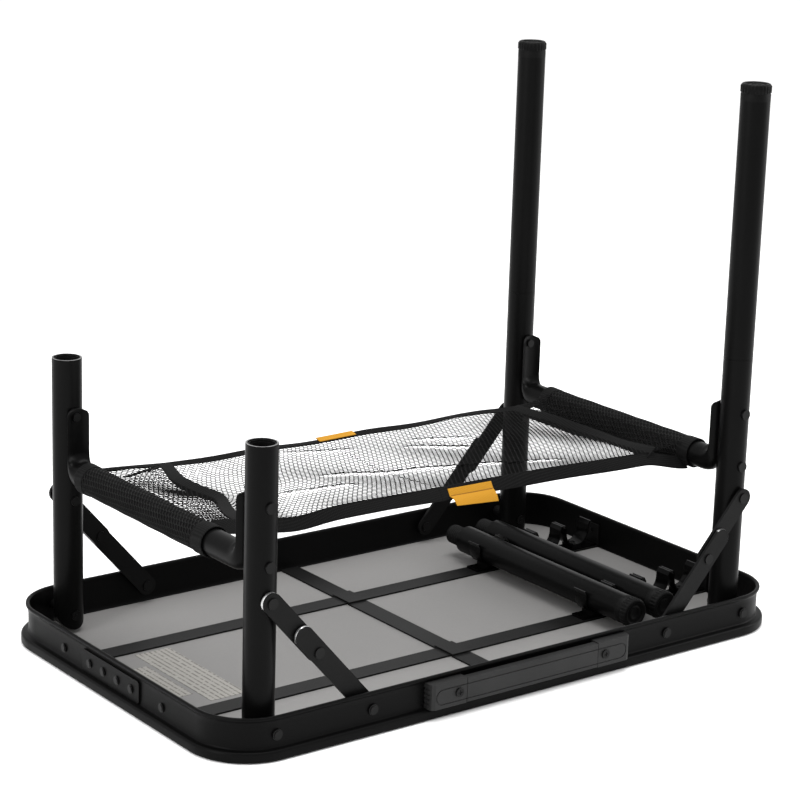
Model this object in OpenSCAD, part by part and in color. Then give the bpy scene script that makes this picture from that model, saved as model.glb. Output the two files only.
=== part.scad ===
// Folding table with two leg frames, locking braces, four screw-in leg
// extensions and a mesh shelf. The tabletop lies face down on z = 0, the feet
// point to +Z, the carry handle is on the -Y side and the rim joint plate is
// on the -X side.

/* [Tabletop] */
// Length of the tabletop over the rim lip
top_len = 574; // [400:1:800]
// Width of the tabletop over the rim lip
top_w = 342; // [300:1:500]
// Corner radius of the rim lip in plan
corner_r = 47; // [20:1:90]
// Height of the rim
rim_h = 34.5; // [30:0.5:50]
// Thickness of the rim wall
rim_wall = 1.6; // [1:0.1:3]
// How far the wall sits behind the lip
waist = 2; // [0:0.5:4]
// How far the bead stands out beyond the lip
bead_out = 4; // [1:0.5:6]
// Height of the bead along the bottom of the rim
bead_h = 8.5; // [5:0.5:12]
// Thickness of the panel board
panel_t = 3.5; // [2:0.5:8]

/* [Legs] */
// Outer diameter of the leg tube
tube_d = 25; // [19:0.5:32]
// Wall thickness of the leg tube
tube_wall = 1.5; // [0.8:0.1:3]
// Distance of the leg pivots from the middle along the length
leg_x = 242; // [180:1:300]
// Distance of the leg centres from the middle across the width
leg_y = 143.5; // [120:0.5:180]
// Height of the leg pivots over the working face
pivot_z = 19; // [15:0.5:25]
// Height of the top end of a short leg
leg_top = 240.5; // [200:0.5:300]
// Height of the foot of a leg with its extension
foot_top = 473; // [400:1:560]
// Diameter of the bar between two legs
bar_d = 22; // [16:0.5:28]
// Height of the bar between two legs
bar_z = 145; // [120:0.5:180]
// Height of the upper screw through a leg
screw_hi_z = 193; // [170:1:220]
// Height of the lower screw through a leg
screw_lo_z = 147; // [130:1:165]

/* [Braces] */
// Height of the brace pivot on the leg
brace_leg_z = 120; // [90:1:140]
// Distance of the brace pivot on the rim from the middle
brace_rim_x = 153; // [120:1:190]
// Width of a brace link
link_w = 16.5; // [10:0.5:22]
// Thickness of a brace link
link_t = 2.5; // [1.5:0.1:4]
// How far the lower link runs past the elbow
link_tail = 29; // [10:1:35]

/* [Extensions] */
// Diameter of the screw-in stud
stud_d = 17.8; // [12:0.1:20]
// Length of the stud
stud_len = 20; // [10:1:30]
// Length of the foot cap
foot_len = 14; // [8:1:25]
// Height of a stored extension over the working face
store_z = 23; // [18:0.5:28]
// Position of the first stored extension along the length
store_x = 154.5; // [130:0.5:170]
// Spacing of the storage clips
clip_pitch = 34.2; // [34:0.1:45]
// Foot end of a stored extension across the width
store_y = -129; // [-135:1:-100]

/* [Ribs] */
// Distance of the long ribs from the middle
rib_y = 73.5; // [50:0.5:100]
// Width of the ribs
rib_w = 18.5; // [10:0.5:30]
// Thickness of the ribs
rib_t = 1.5; // [1:0.1:3]
// Width of the clip strips
clip_w = 15; // [10:0.5:20]
// Height of the clip lips over the working face
clip_top = 31; // [28:0.5:34]

/* [Handle] */
// Half length of the handle
handle_half = 103.5; // [80:0.5:140]
// Half length of the handle strap between its seams
strap_half = 68; // [50:1:90]
// How far the handle stands out from the rim wall
handle_out = 10; // [6:0.5:14]
// Bottom of the handle over the working face
handle_lo = 9; // [8:0.5:12]
// Top of the handle over the working face
handle_hi = 30.5; // [26:0.5:32]

/* [Mesh shelf] */
// Line where the two halves of the shelf meet
net_split = -20; // [-60:1:60]
// Thickness of the shelf cloth
net_t = 0.8; // [0.5:0.1:2]
// Lowest level of the shelf
net_low = 141.5; // [135:0.5:146]
// Rise of the shelf from its middle to the bars
net_rise = 10; // [4:0.5:14]

/* [Hidden] */
$fn = 48;
eps = 0.01;
tube_r = tube_d / 2;
tube_in = tube_r - tube_wall;
wall_out = top_w / 2 - waist;
wall_in = wall_out - rim_wall;
end_out = top_len / 2 - waist;
end_in = end_out - rim_wall;
fit = 0.05;
gap = 0.1;
pin_r = 3;
pin_hole_r = pin_r + fit;
head_r = 4.4;
head_t = 1.1;
tube_face = leg_y + tube_r;
tube_back = leg_y - tube_r;
up_lo = tube_face + 2.2;
up_hi = up_lo + link_t;
low_lo = up_hi + 1.5;
low_hi = low_lo + link_t;
brace_dx = leg_x - brace_rim_x;
brace_dz = brace_leg_z - pivot_z;
brace_len = sqrt(brace_dx * brace_dx + brace_dz * brace_dz);
close_d = brace_dz - brace_dx;
link_hi_len = (brace_len - close_d) / 2;
link_lo_len = (brace_len + close_d) / 2;
brace_ang = atan2(brace_dz, brace_dx);
plug_r = tube_in - fit;
insert_len = 22;
foot_r = 12.9;
foot_plug = 12;
foot_face_r = 9;
ext_len = foot_top - leg_top;
joint_gap = 0.2;
strip_z = panel_t + rib_t;
strip_t = 2;
strip_start = 138;
clip_in = tube_r + 0.35;
clip_t = 1.2;
clip_out = clip_in + clip_t;
lip_out = 2.2;
lip_h = 3.6;
clip_seat = 5;
clip_rivet_r = 3.4;
clip_rivet_t = 0.9;
side_rivet_z = 17.5;
side_rivet_y = 75;
splice_half = 43.5;
splice_t = 1.5;
handle_screw_x = 76;
handle_screw_z = 19.5;
handle_face = wall_out + handle_out;
tongue_lo = wall_out + 3;
tongue_hi = wall_out + 6;
tongue_z = 6;
tongue_half = 82;
net_n = 12;
tag_lo = -12;
tag_hi = 32;
far_tag_lo = -19;
sleeve_t = 1.3;
tab_half = 10.25;
tab_lo = 136.5;
tab_hi = 200;
tab_t = 2.6;
tab_back = leg_y - tube_r - fit - tab_t;

// ---- helpers ----

// Plan outline of the tabletop, grown by o from the lip line
module plan(o) {
  r = corner_r + o;
  x = top_len / 2 + o;
  y = top_w / 2 + o;
  union() {
    square([2 * (x - r), 2 * y], center = true);
    square([2 * x, 2 * (y - r)], center = true);
    for (sx = [-1, 1]) for (sy = [-1, 1]) {
      translate([sx * (x - r), sy * (y - r)]) circle(r = r, $fn = 96);
    }
  }
}

module slab(o, z0, z1) {
  translate([0, 0, z0]) linear_extrude(height = z1 - z0) plan(o);
}

// Ring of the rim between two outlines
module ring(o_in, o_out, z0, z1) {
  translate([0, 0, z0]) linear_extrude(height = z1 - z0) difference() {
    plan(o_out);
    plan(o_in);
  }
}

// Cylinder along Y from y0 to y1
module ycyl(r, x, z, y0, y1) {
  translate([x, y0, z]) rotate([-90, 0, 0]) cylinder(h = y1 - y0, r = r);
}

// Cylinder along X from x0 to x1
module xcyl(r, y, z, x0, x1) {
  translate([x0, y, z]) rotate([0, 90, 0]) cylinder(h = x1 - x0, r = r);
}

// Shape drawn in the XZ plane and given a thickness from y0 to y1
module xz(y0, y1) {
  translate([0, y1, 0]) rotate([90, 0, 0]) linear_extrude(height = y1 - y0) children();
}

// Copies for the front and the back side
module both_y() {
  children();
  mirror([0, 1, 0]) children();
}

module both_x() {
  children();
  mirror([1, 0, 0]) children();
}

// ---- tabletop ----

module top_panel() {
  color([0.63, 0.61, 0.58]) slab(-rim_wall, 0, panel_t);
}

module rim_body() {
  union() {
    ring(-rim_wall, bead_out - 1.2, 0, 1.2);
    ring(-rim_wall, bead_out, 1.2, panel_t);
    ring(-waist - rim_wall, bead_out, panel_t, bead_h - 1.5);
    ring(-waist - rim_wall, bead_out - 1.2, bead_h - 1.5, bead_h);
    ring(-waist - rim_wall, -waist, bead_h, rim_h - 3);
    ring(-waist - rim_wall, -0.7, rim_h - 3, rim_h - 2.3);
    ring(-waist - rim_wall, 0, rim_h - 2.3, rim_h - 0.7);
    ring(-waist - rim_wall + 0.7, -0.7, rim_h - 0.7, rim_h);
  }
}

module rim_frame() {
  color([0.06, 0.06, 0.06]) difference() {
    rim_body();
    both_x() for (x = [leg_x, brace_rim_x]) both_y() {
      ycyl(pin_hole_r, x, pivot_z, -wall_out - 3, -wall_in + 3);
    }
    both_x() ycyl(2 + fit, handle_screw_x, handle_screw_z, -wall_out - 3, -wall_in + 3);
    both_x() both_y() xcyl(2 + fit, side_rivet_y, side_rivet_z, end_in - 3, end_out + 3);
    for (y = [-31.8, -10.6, 10.6, 31.8]) xcyl(2 + fit, y, 18.5, -end_out - 3, -end_in + 3);
  }
}

module splice_plate() {
  color([0.1, 0.1, 0.1]) difference() {
    translate([-end_out - splice_t, 0, 0]) rotate([90, 0, 90]) linear_extrude(height = splice_t) {
      union() {
        translate([0, 18.5]) square([2 * splice_half - 6, 19], center = true);
        translate([0, 18.5]) square([2 * splice_half, 13], center = true);
        for (s = [-1, 1]) for (t = [-1, 1]) {
          translate([s * (splice_half - 3), 18.5 + t * 6.5]) circle(r = 3);
        }
      }
    }
    for (y = [-31.8, -10.6, 10.6, 31.8]) xcyl(2 + fit, y, 18.5, -end_out - 3, -end_in);
  }
}

// Rivet along X through the end wall, head outside
module side_rivet(y, z, x_face) {
  xcyl(2, y, z, x_face - eps, -end_in + rib_t + 0.8);
  xcyl(3.6, y, z, x_face - 1, x_face);
  xcyl(2.6, y, z, x_face - 1.5, x_face - 1 + eps);
}

module side_rivets() {
  color([0.12, 0.12, 0.12]) union() {
    for (y = [-31.8, -10.6, 10.6, 31.8]) side_rivet(y, 18.5, -end_out - splice_t);
    both_y() side_rivet(side_rivet_y, side_rivet_z, -end_out);
    mirror([1, 0, 0]) both_y() side_rivet(side_rivet_y, side_rivet_z, -end_out);
  }
}

// Rivet of a brace through the rim wall, drawn on the front right
module brace_rim_rivet() {
  ycyl(head_r, brace_rim_x, pivot_z, -wall_out - 1.4, -wall_out);
  ycyl(3.2, brace_rim_x, pivot_z, -wall_out - 1.9, -wall_out - 1.4 + eps);
  ycyl(pin_r, brace_rim_x, pivot_z, -wall_out - eps, -low_lo + gap + eps);
  ycyl(5, brace_rim_x, pivot_z, -wall_in, -low_hi - gap);
  ycyl(head_r, brace_rim_x, pivot_z, -low_lo + gap, -low_lo + gap + head_t);
}

// Rivet of a leg through the rim wall and the tube, drawn on the front right
module leg_rivet() {
  ycyl(head_r, leg_x, pivot_z, -wall_out - 1.4, -wall_out);
  ycyl(3.2, leg_x, pivot_z, -wall_out - 1.9, -wall_out - 1.4 + eps);
  ycyl(pin_r, leg_x, pivot_z, -wall_out - eps, -tube_back + 0.4);
  ycyl(4.25, leg_x, pivot_z, -tube_back + 0.3, -tube_back + 1.5);
  ycyl(1.8, leg_x, pivot_z, -tube_back + 1.5 - eps, -tube_back + 2.1);
}

module rim_rivets() {
  color([0.12, 0.12, 0.12]) both_x() both_y() {
    brace_rim_rivet();
    leg_rivet();
  }
}

module pivot_spacers() {
  color([0.08, 0.08, 0.08]) both_x() both_y() difference() {
    ycyl(4.75, leg_x, pivot_z, -wall_in + 0.7, -tube_face - 0.3);
    ycyl(pin_hole_r, leg_x, pivot_z, -wall_in, -tube_face + 1);
  }
}

// ---- ribs and clips ----

module rib_long(y) {
  difference() {
    union() {
      translate([-end_in, y - rib_w / 2, panel_t]) cube([2 * end_in, rib_w, rib_t]);
      for (s = [-1, 1]) {
        translate([s * (end_in - rib_t / 2), y, (panel_t + 25) / 2])
          cube([rib_t, rib_w, 25 - panel_t], center = true);
      }
    }
    for (s = [-1, 1]) {
      xcyl(2 + fit, sign(y) * side_rivet_y, side_rivet_z, s * end_in - 3, s * end_in + 3);
    }
    for (x = [store_x, store_x + 3 * clip_pitch]) {
      translate([x, y, panel_t - 1]) cylinder(h = rib_t + 2, r = 1.5 + fit);
    }
  }
}

module rib_long_front() { color([0.16, 0.16, 0.17]) rib_long(-rib_y); }

module rib_long_back() { color([0.16, 0.16, 0.17]) rib_long(rib_y); }

module rib_cross() {
  step = 12.5;
  color([0.16, 0.16, 0.17]) union() {
    translate([-rib_w / 2, -rib_y + step - rib_t, panel_t]) cube([rib_w, 2 * (rib_y - step + rib_t), rib_t]);
    both_y() {
      translate([-rib_w / 2, rib_y - step, panel_t + rib_t]) cube([rib_w, 2 * step, rib_t]);
      translate([-rib_w / 2, rib_y + step - rib_t, panel_t]) cube([rib_w, rib_t, 2 * rib_t]);
      translate([-rib_w / 2, rib_y - step, panel_t]) cube([rib_w, rib_t, 2 * rib_t]);
      translate([-rib_w / 2, rib_y + step - rib_t, panel_t])
        cube([rib_w, wall_in - rib_y - step + rib_t, rib_t]);
    }
  }
}

// Outline of one spring clip around a stored tube, seen along the tube
module clip_shape() {
  straight = clip_top - lip_h - store_z;
  union() {
    difference() {
      circle(r = clip_out);
      circle(r = clip_in);
      translate([-20, 0]) square([40, 20]);
    }
    for (s = [-1, 1]) {
      translate([s * (clip_in + clip_t / 2) - clip_t / 2, -eps]) square([clip_t, straight + 2 * eps]);
    }
    polygon([
      [clip_in, straight], [clip_out, straight], [clip_out + lip_out, straight + lip_h],
      [clip_in + lip_out, straight + lip_h]
    ]);
    polygon([
      [-clip_in, straight], [-clip_out, straight], [-clip_out - lip_out, straight + lip_h],
      [-clip_in - lip_out, straight + lip_h]
    ]);
    translate([-clip_seat, strip_z + strip_t - store_z - eps]) {
      square([2 * clip_seat, store_z - clip_in - strip_z - strip_t - 0.2]);
    }
  }
}

module clip_strip(y) {
  head_z = store_z - clip_in - clip_rivet_t - 0.1;
  difference() {
    union() {
      translate([strip_start, y - clip_w / 2, strip_z])
        cube([end_in - rib_t - 0.2 - strip_start, clip_w, strip_t]);
      for (i = [0 : 3]) {
        xz(y - clip_w / 2, y + clip_w / 2) translate([store_x + i * clip_pitch, store_z]) clip_shape();
      }
    }
    for (x = [store_x, store_x + 3 * clip_pitch]) {
      translate([x, y, strip_z - 1]) cylinder(h = 8, r = 1.5 + fit);
      translate([x, y, head_z]) cylinder(h = 6, r = clip_rivet_r + fit);
    }
  }
}

module clip_strip_front() { color([0.05, 0.05, 0.05]) clip_strip(-rib_y); }

module clip_strip_back() { color([0.05, 0.05, 0.05]) clip_strip(rib_y); }

module clip_rivets() {
  base = store_z - clip_in - clip_rivet_t - 0.1;
  color([0.15, 0.15, 0.15]) both_y() for (x = [store_x, store_x + 3 * clip_pitch]) {
    translate([x, rib_y, panel_t + gap]) cylinder(h = base - panel_t, r = 1.5);
    translate([x, rib_y, base]) cylinder(h = clip_rivet_t, r = clip_rivet_r);
  }
}

// ---- handle ----

// Pill outline pressed into the handle face
module pill_groove() {
  both = [99 - 6.6, 6.6];
  xz(-handle_face - 1, -handle_face + 0.6) translate([0, 18.8]) difference() {
    union() {
      square([2 * both[0], 2 * both[1]], center = true);
      for (s = [-1, 1]) translate([s * both[0], 0]) circle(r = both[1]);
    }
    union() {
      square([2 * both[0], 2 * both[1] - 1.6], center = true);
      for (s = [-1, 1]) translate([s * both[0], 0]) circle(r = both[1] - 0.8);
    }
  }
}

module handle_end() {
  difference() {
    translate([0, 0, handle_lo]) linear_extrude(height = handle_hi - handle_lo) polygon([
      [strap_half + 0.4, -wall_out], [strap_half + 0.4, -handle_face],
      [handle_half - 4, -handle_face], [handle_half - 1, -handle_face + 1.5],
      [handle_half, -handle_face + 5], [handle_half, -wall_out]
    ]);
    translate([strap_half, -tongue_hi - 0.2, handle_screw_z - tongue_z - 0.2])
      cube([tongue_half - strap_half + 0.4, tongue_hi - tongue_lo + 0.4, 2 * tongue_z + 0.4]);
    ycyl(2 + fit, handle_screw_x, handle_screw_z, -handle_face - 1, -wall_out + 1);
    pill_groove();
    for (i = [0 : 3]) {
      translate([handle_half - 0.6, -handle_face + 2, handle_lo + 4 + i * 4]) cube([2, 10, 1.6]);
    }
  }
}

module handle_end_left() { color([0.05, 0.05, 0.05]) mirror([1, 0, 0]) handle_end(); }

module handle_end_right() { color([0.05, 0.05, 0.05]) handle_end(); }

module handle_strap() {
  color([0.06, 0.06, 0.06]) difference() {
    union() {
      translate([-strap_half, -handle_face, handle_lo + 0.4])
        cube([2 * strap_half, 6.4, handle_hi - handle_lo - 1.2]);
      translate([-tongue_half, -tongue_hi, handle_screw_z - tongue_z])
        cube([2 * tongue_half, tongue_hi - tongue_lo, 2 * tongue_z]);
    }
    for (s = [-1, 1]) ycyl(2 + fit, s * handle_screw_x, handle_screw_z, -handle_face - 1, -wall_out);
    pill_groove();
  }
}

module handle_screws() {
  color([0.2, 0.2, 0.2]) both_x() difference() {
    union() {
      ycyl(2, handle_screw_x, handle_screw_z, -handle_face - eps, -wall_in + 1.2);
      ycyl(3.8, handle_screw_x, handle_screw_z, -handle_face - 1.2, -handle_face);
      ycyl(3.2, handle_screw_x, handle_screw_z, -wall_in, -wall_in + 1.2);
    }
    translate([handle_screw_x, -handle_face - 1.3, handle_screw_z]) cube([4, 1.4, 0.9], center = true);
    translate([handle_screw_x, -handle_face - 1.3, handle_screw_z]) cube([0.9, 1.4, 4], center = true);
  }
}

module labels() {
  color([0.8, 0.78, 0.72]) union() {
    translate([-211, 2, panel_t + 0.1]) cube([33, 116, 0.2], center = true);
    translate([-238.5, -1, panel_t + 0.1]) cube([13, 70, 0.2], center = true);
  }
}

// ---- leg frames, drawn for the right side ----

module pivot_round() {
  union() {
    ycyl(tube_r, leg_x, pivot_z, -leg_y - 20, -leg_y + 20);
    translate([leg_x - 20, -leg_y - 20, pivot_z]) cube([40, 40, foot_top]);
  }
}

// Front leg tube
module leg_tube() {
  difference() {
    intersection() {
      translate([leg_x, -leg_y, 0]) difference() {
        cylinder(h = leg_top, r = tube_r, $fn = 64);
        translate([0, 0, -1]) cylinder(h = leg_top + 2, r = tube_in, $fn = 64);
      }
      pivot_round();
    }
    ycyl(pin_r + 0.08, leg_x, pivot_z, -tube_face - 1, -tube_back + 1);
    ycyl(pin_hole_r, leg_x, brace_leg_z, -tube_face - 1, -tube_back + 1);
    for (z = [screw_lo_z, screw_hi_z]) ycyl(2 + fit, leg_x, z, -tube_face - 1, -tube_back + 1);
  }
}

module pivot_plug() {
  difference() {
    intersection() {
      translate([leg_x, -leg_y, 0]) cylinder(h = 34, r = plug_r);
      pivot_round();
    }
    ycyl(pin_r + 0.08, leg_x, pivot_z, -tube_face - 1, -tube_back + 1);
  }
}

module socket() {
  translate([leg_x, -leg_y, leg_top - insert_len]) difference() {
    cylinder(h = insert_len - 0.8, r = plug_r);
    translate([0, 0, -1]) cylinder(h = insert_len + 2, r = stud_d / 2 + 0.07);
    translate([0, 0, insert_len - 2.4]) rotate([0, 0, 22.5]) cylinder(h = 3, r = 10.2, $fn = 8);
  }
}

// Saddle of the bar on the inner face of a front leg
module saddle() {
  intersection() {
    translate([leg_x, -leg_y, tab_lo]) difference() {
      cylinder(h = tab_hi - tab_lo, r = tube_r + fit + tab_t, $fn = 64);
      translate([0, 0, -1]) cylinder(h = tab_hi - tab_lo + 2, r = tube_r + fit, $fn = 64);
    }
    xz(-leg_y, -leg_y + 20) translate([leg_x, 0]) union() {
      translate([-tab_half, tab_lo + 4]) square([2 * tab_half, tab_hi - tab_lo - 10]);
      translate([-tab_half + 6, tab_lo]) square([2 * tab_half - 12, tab_hi - tab_lo]);
      for (s = [-1, 1]) {
        translate([s * (tab_half - 6), tab_hi - 6]) circle(r = 6);
        translate([s * (tab_half - 6), tab_lo + 6]) circle(r = 6);
      }
    }
  }
}

// Flattened end of the bar that runs into the saddle
module bar_end() {
  x0 = leg_x - tab_half;
  intersection() {
    translate([x0, 0, 0]) rotate([90, 0, 90]) linear_extrude(height = 2 * tab_half) polygon([
      [-tab_back + 12.4, bar_z - 10.4], [-tab_back + 3, bar_z - 9], [-tab_back - 0.6, bar_z - 6.5],
      [-tab_back - 0.6, bar_z + 24], [-tab_back + 0.5, bar_z + 24],
      [-tab_back + 3.2, bar_z + 12], [-tab_back + 12.4, bar_z + 10.4]
    ]);
    translate([leg_x - 20, -leg_y + tube_r + fit + 0.4, 0]) cube([40, 40, 300]);
  }
}

module crossbar() {
  difference() {
    union() {
      ycyl(bar_d / 2, leg_x, bar_z, -tab_back + 6, tab_back - 6);
      both_y() {
        saddle();
        bar_end();
      }
    }
    both_y() {
      for (z = [screw_lo_z, screw_hi_z]) ycyl(2 + fit, leg_x, z, -tube_back - 1, -tab_back + 16);
      ycyl(head_r + 0.4, leg_x, screw_lo_z, -tab_back, -tab_back + 4);
    }
    ycyl(bar_d / 2 - tube_wall, leg_x, bar_z, -tab_back + 12, tab_back - 12);
  }
}

// Screws of the front leg of the right frame
module leg_screw_pair() {
  for (z = [screw_lo_z, screw_hi_z]) {
    ycyl(2, leg_x, z, -tube_face - 0.5, -tab_back + 0.4);
    ycyl(z == screw_lo_z ? head_r : 3.5, leg_x, z, -tab_back, -tab_back + 1.8);
    ycyl(head_r, leg_x, z, -tube_face - 1.8, -tube_face);
  }
}

// Pin of the front brace on the leg
module brace_pin() {
  ycyl(pin_r, leg_x, brace_leg_z, -up_hi - gap - eps, -tube_back + 0.3);
  ycyl(5, leg_x, brace_leg_z, -up_lo + gap, -tube_face);
  ycyl(head_r, leg_x, brace_leg_z, -up_hi - gap - head_t, -up_hi - gap);
  ycyl(4, leg_x, brace_leg_z, -tube_back, -tube_back + 1.3);
}

module sleeve_right() {
  color([0.07, 0.07, 0.07]) difference() {
    ycyl(bar_d / 2 + fit + sleeve_t, leg_x, bar_z, -101, 98);
    ycyl(bar_d / 2 + fit, leg_x, bar_z, -102, 99);
  }
}

module sleeve_left() {
  color([0.07, 0.07, 0.07]) difference() {
    ycyl(bar_d / 2 + fit + sleeve_t, -leg_x, bar_z, -66, 111);
    ycyl(bar_d / 2 + fit, -leg_x, bar_z, -67, 112);
  }
}

metal = [0.1, 0.1, 0.1];

module leg_rf() { color(metal) leg_tube(); }

module leg_rb() { color(metal) mirror([0, 1, 0]) leg_tube(); }

module leg_lf() { color(metal) mirror([1, 0, 0]) leg_tube(); }

module leg_lb() { color(metal) mirror([1, 0, 0]) mirror([0, 1, 0]) leg_tube(); }

module crossbar_right() { color(metal) crossbar(); }

module crossbar_left() { color(metal) mirror([1, 0, 0]) crossbar(); }

module leg_screws_right() { color([0.2, 0.2, 0.2]) both_y() leg_screw_pair(); }

module leg_screws_left() { color([0.2, 0.2, 0.2]) mirror([1, 0, 0]) both_y() leg_screw_pair(); }

module brace_pins_right() { color([0.2, 0.2, 0.2]) both_y() brace_pin(); }

module brace_pins_left() { color([0.2, 0.2, 0.2]) mirror([1, 0, 0]) both_y() brace_pin(); }

module sockets_right() { color([0.05, 0.05, 0.05]) both_y() socket(); }

module sockets_left() { color([0.05, 0.05, 0.05]) mirror([1, 0, 0]) both_y() socket(); }

module pivot_plugs_right() { color([0.05, 0.05, 0.05]) both_y() pivot_plug(); }

module pivot_plugs_left() { color([0.05, 0.05, 0.05]) mirror([1, 0, 0]) both_y() pivot_plug(); }

// ---- extensions, drawn standing with the shoulder at z = 0 ----

module ext_tube() {
  translate([0, 0, joint_gap]) difference() {
    cylinder(h = ext_len - foot_len - joint_gap, r = tube_r, $fn = 64);
    translate([0, 0, -1]) cylinder(h = ext_len, r = tube_in, $fn = 64);
  }
}

module ext_stud() {
  union() {
    translate([0, 0, joint_gap]) cylinder(h = 20, r = plug_r);
    translate([0, 0, 1.2 - stud_len]) cylinder(h = stud_len, r = stud_d / 2);
    translate([0, 0, -stud_len]) cylinder(h = 2, r = stud_d / 2 - 1);
  }
}

module ext_foot() {
  translate([0, 0, ext_len - foot_len]) difference() {
    union() {
      translate([0, 0, -foot_plug]) cylinder(h = foot_plug + 1, r = plug_r);
      cylinder(h = 2.5, r = tube_r);
      translate([0, 0, 2]) cylinder(h = 8, r = foot_r);
      cylinder(h = foot_len, r = foot_r - 0.8);
    }
    translate([0, 0, foot_len - 1.5]) cylinder(h = 3, r = foot_face_r);
  }
}

module fitted(s) { translate([leg_x, s * leg_y, leg_top]) children(); }

module stored(i) {
  translate([store_x + i * clip_pitch, store_y + ext_len, store_z]) rotate([90, 0, 0]) children();
}

module ext_rf_tube() { color(metal) fitted(-1) ext_tube(); }

module ext_rf_stud() { color([0.3, 0.3, 0.3]) fitted(-1) ext_stud(); }

module ext_rf_foot() { color([0.05, 0.05, 0.05]) fitted(-1) ext_foot(); }

module ext_rb_tube() { color(metal) fitted(1) ext_tube(); }

module ext_rb_stud() { color([0.3, 0.3, 0.3]) fitted(1) ext_stud(); }

module ext_rb_foot() { color([0.05, 0.05, 0.05]) fitted(1) ext_foot(); }

module ext_s1_tube() { color(metal) stored(0) ext_tube(); }

module ext_s1_stud() { color([0.3, 0.3, 0.3]) stored(0) ext_stud(); }

module ext_s1_foot() { color([0.05, 0.05, 0.05]) stored(0) ext_foot(); }

module ext_s2_tube() { color(metal) stored(1) ext_tube(); }

module ext_s2_stud() { color([0.3, 0.3, 0.3]) stored(1) ext_stud(); }

module ext_s2_foot() { color([0.05, 0.05, 0.05]) stored(1) ext_foot(); }

// ---- braces, drawn on the front right ----

// Link outline from a pivot at the origin along +X with a tail past its far pivot
module link_shape(len, tail) {
  r = link_w / 2;
  difference() {
    union() {
      circle(r = r);
      translate([0, -r]) square([len + tail - (tail > 0 ? r : 0), link_w]);
      translate([len + tail - (tail > 0 ? r : 0), 0]) circle(r = r);
    }
    circle(r = pin_hole_r);
  }
}

module lower_link() {
  xz(-low_hi, -low_lo) translate([brace_rim_x, pivot_z]) rotate(brace_ang) difference() {
    link_shape(link_lo_len, link_tail);
    translate([link_lo_len, 0]) circle(r = pin_hole_r);
  }
}

module lower_rivet() {
  ex = brace_rim_x + link_lo_len * cos(brace_ang);
  ez = pivot_z + link_lo_len * sin(brace_ang);
  ycyl(pin_r, ex, ez, -low_hi - gap, -low_lo);
  ycyl(head_r, ex, ez, -low_hi - head_t - 0.1, -low_hi);
}

module upper_link() {
  ex = leg_x - link_hi_len * cos(brace_ang);
  ez = brace_leg_z - link_hi_len * sin(brace_ang);
  union() {
    xz(-up_hi, -up_lo) translate([leg_x, brace_leg_z]) rotate(brace_ang + 180) link_shape(link_hi_len, 0);
    ycyl(head_r, ex, ez, -up_lo - eps, -up_lo + head_t + 0.1);
  }
}

link_c = [0.12, 0.12, 0.12];

module brace_rf_upper() {
  color(link_c) union() {
    upper_link();
    xz(-up_hi, -up_lo) translate([leg_x, brace_leg_z]) rotate(brace_ang + 180)
      translate([link_hi_len - 4.5, link_w / 2 - 1]) square([9, 5]);
  }
}

module brace_rf_lower() { color(link_c) lower_link(); }

module brace_rf_rivet() { color(link_c) lower_rivet(); }

module brace_rb_upper() { color(link_c) mirror([0, 1, 0]) upper_link(); }

module brace_rb_lower() { color(link_c) mirror([0, 1, 0]) lower_link(); }

module brace_rb_rivet() { color(link_c) mirror([0, 1, 0]) lower_rivet(); }

module brace_lf_upper() { color(link_c) mirror([1, 0, 0]) upper_link(); }

module brace_lf_lower() { color(link_c) mirror([1, 0, 0]) lower_link(); }

module brace_lf_rivet() { color(link_c) mirror([1, 0, 0]) lower_rivet(); }

module brace_lb_upper() { color(link_c) mirror([1, 0, 0]) mirror([0, 1, 0]) upper_link(); }

module brace_lb_lower() { color(link_c) mirror([1, 0, 0]) mirror([0, 1, 0]) lower_link(); }

module brace_lb_rivet() { color(link_c) mirror([1, 0, 0]) mirror([0, 1, 0]) lower_rivet(); }

// ---- mesh shelf ----

function net_z(x) = net_low + net_rise * pow(abs(x) / leg_x, 4);

function net_near(x) = -82 - 16 * x / leg_x + 9 * (1 - pow(x / leg_x, 2));

function net_far(x) = 103.5 - 6.5 * x / leg_x - 7 * (1 - pow(x / leg_x, 2));

// Half of the shelf between two positions along the length
module net(x0, x1) {
  xs = [for (i = [0 : net_n]) x0 + (x1 - x0) * i / net_n];
  intersection() {
    xz(-140, 140) polygon(concat([for (x = xs) [x, net_z(x)]],
      [for (i = [net_n : -1 : 0]) [xs[i], net_z(xs[i]) - net_t]]));
    translate([0, 0, net_low - 5]) linear_extrude(height = net_rise + 10) polygon(concat(
      [for (x = xs) [x, net_near(x)]], [for (i = [net_n : -1 : 0]) [xs[i], net_far(xs[i])]]));
  }
}

module net_left() { color([0.08, 0.08, 0.08]) net(-leg_x + 12, net_split); }

module net_right() { color([0.08, 0.08, 0.08]) net(net_split, leg_x - 12); }

// Plan of a strip that follows the near edge, from a to b across the width
module near_strip(a, b) {
  polygon([
    [tag_lo, net_near(tag_lo) + a], [tag_hi, net_near(tag_hi) + a],
    [tag_hi, net_near(tag_hi) + b], [tag_lo, net_near(tag_lo) + b]
  ]);
}

module tags() {
  color([0.9, 0.62, 0.16]) union() {
    translate([0, 0, net_low + 0.1]) linear_extrude(height = 1) near_strip(-2.4, 13);
    translate([0, 0, net_low - 10.4]) linear_extrude(height = 11.5) near_strip(-2.4, -1.4);
    translate([far_tag_lo, net_far(far_tag_lo) - 12, net_low + 0.1]) cube([tag_hi - tag_lo, 14, 1]);
  }
}

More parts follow.
